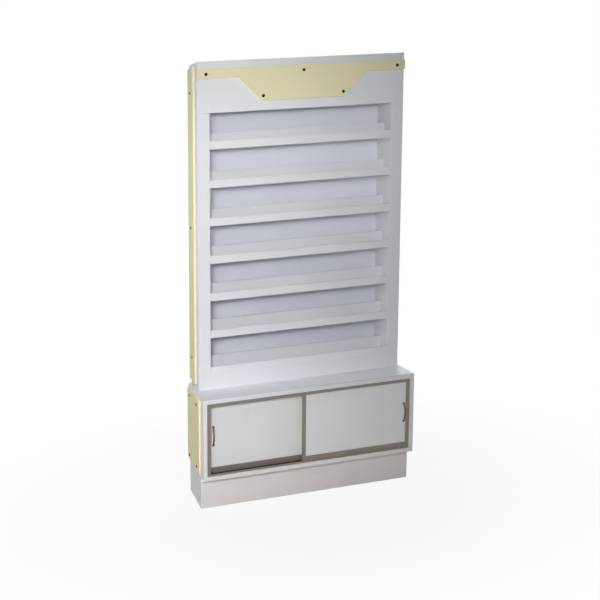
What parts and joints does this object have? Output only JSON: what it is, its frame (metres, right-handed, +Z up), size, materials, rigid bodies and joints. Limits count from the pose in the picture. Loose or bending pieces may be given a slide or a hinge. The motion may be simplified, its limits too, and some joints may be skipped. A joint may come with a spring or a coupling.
{
  "type": "nail polish display stand",
  "caption": "Tall white display rack with stepped two-tier shelves, cream trim panels and a base cupboard with bypass sliding doors on a recessed plinth.",
  "frame": {"origin": "centre of the footprint's bounding box, on the floor", "axes": "+X to the viewer's right when facing the shelves, +Y towards the back, +Z up"},
  "size_m": [0.9308, 0.3664, 1.829],
  "materials": {
    "white_laminate": "white melamine on particle board, low sheen",
    "white_door": "white faced hardboard, low sheen",
    "cream_laminate": "cream laminate, satin",
    "bronze_aluminium": "champagne bronze anodised",
    "satin_bronze": "dark bronze plated, satin",
    "zinc_screw": "zinc plated",
    "dark_screw": "dark brown painted",
    "black_rubber": "matte",
    "nylon": "moulded nylon"
  },
  "bodies": {
    "cabinet": {"plinth_front": "white_laminate", "plinth_back": "white_laminate", "plinth_left": "white_laminate", "plinth_right": "white_laminate", "base_floor": "white_laminate", "base_left_side": "white_laminate", "base_right_side": "white_laminate", "base_top": "white_laminate", "base_back": "white_laminate", "upper_left_side": "white_laminate", "upper_right_side": "white_laminate", "upper_left_liner": "white_laminate", "upper_right_liner": "white_laminate", "upper_top": "white_laminate", "upper_back": "white_laminate", "header_fascia": "white_laminate", "left_stile": "white_laminate", "right_stile": "white_laminate", "bottom_rail": "white_laminate", "shelf_front_lips": "white_laminate", "shelf_risers": "white_laminate", "shelf_1_front_deck": "white_laminate", "shelf_1_rear_deck": "white_laminate", "shelf_2_front_deck": "white_laminate", "shelf_2_rear_deck": "white_laminate", "shelf_3_front_deck": "white_laminate", "shelf_3_rear_deck": "white_laminate", "shelf_4_front_deck": "white_laminate", "shelf_4_rear_deck": "white_laminate", "shelf_5_front_deck": "white_laminate", "shelf_5_rear_deck": "white_laminate", "shelf_6_front_deck": "white_laminate", "shelf_6_rear_deck": "white_laminate", "shelf_7_front_deck": "white_laminate", "shelf_7_rear_deck": "white_laminate", "header_sign_panel": "cream_laminate", "upper_left_trim_panel": "cream_laminate", "upper_right_trim_panel": "cream_laminate", "base_left_trim_panel": "cream_laminate", "base_right_trim_panel": "cream_laminate", "door_track_top": "bronze_aluminium", "door_track_bottom": "bronze_aluminium", "door_jamb_left": "bronze_aluminium", "door_jamb_right": "bronze_aluminium", "trim_screws": "dark_screw", "track_bumpers": "black_rubber"},
    "left_door": {"left_door_panel": "white_door", "left_door_shoe": "bronze_aluminium", "left_door_edge_profile": "bronze_aluminium", "left_door_handle": "satin_bronze", "left_door_handle_screws": "zinc_screw"},
    "left_door_inner_roller": {"left_door_inner_roller": "nylon"},
    "left_door_outer_roller": {"left_door_outer_roller": "nylon"},
    "right_door": {"right_door_panel": "white_door", "right_door_shoe": "bronze_aluminium", "right_door_edge_profile": "bronze_aluminium", "right_door_handle": "satin_bronze", "right_door_handle_screws": "zinc_screw"},
    "right_door_inner_roller": {"right_door_inner_roller": "nylon"},
    "right_door_outer_roller": {"right_door_outer_roller": "nylon"}
  },
  "joints": [
    {"name": "left_door_slide", "type": "slide", "parent": "cabinet", "child": "left_door", "axis": [1, 0, 0], "range_m": [0, 0.381]},
    {"name": "left_door_inner_roller_spin", "type": "hinge", "parent": "left_door", "child": "left_door_inner_roller", "pos_m": [-0.006, -0.12775, 0.1619], "axis": [0, 1, 0], "continuous": true},
    {"name": "left_door_outer_roller_spin", "type": "hinge", "parent": "left_door", "child": "left_door_outer_roller", "pos_m": [-0.394, -0.12775, 0.1619], "axis": [0, 1, 0], "continuous": true},
    {"name": "right_door_slide", "type": "slide", "parent": "cabinet", "child": "right_door", "axis": [1, 0, 0], "range_m": [-0.381, 0]},
    {"name": "right_door_inner_roller_spin", "type": "hinge", "parent": "right_door", "child": "right_door_inner_roller", "pos_m": [0.006, -0.15975, 0.1619], "axis": [0, 1, 0], "continuous": true},
    {"name": "right_door_outer_roller_spin", "type": "hinge", "parent": "right_door", "child": "right_door_outer_roller", "pos_m": [0.394, -0.15975, 0.1619], "axis": [0, 1, 0], "continuous": true}
  ],
  "couplings": [
    {"joint": "left_door_inner_roller_spin", "follows": "left_door_slide", "rad_per_m": 238.1},
    {"joint": "left_door_outer_roller_spin", "follows": "left_door_slide", "rad_per_m": 238.1},
    {"joint": "right_door_inner_roller_spin", "follows": "right_door_slide", "rad_per_m": 238.1},
    {"joint": "right_door_outer_roller_spin", "follows": "right_door_slide", "rad_per_m": 238.1}
  ]
}
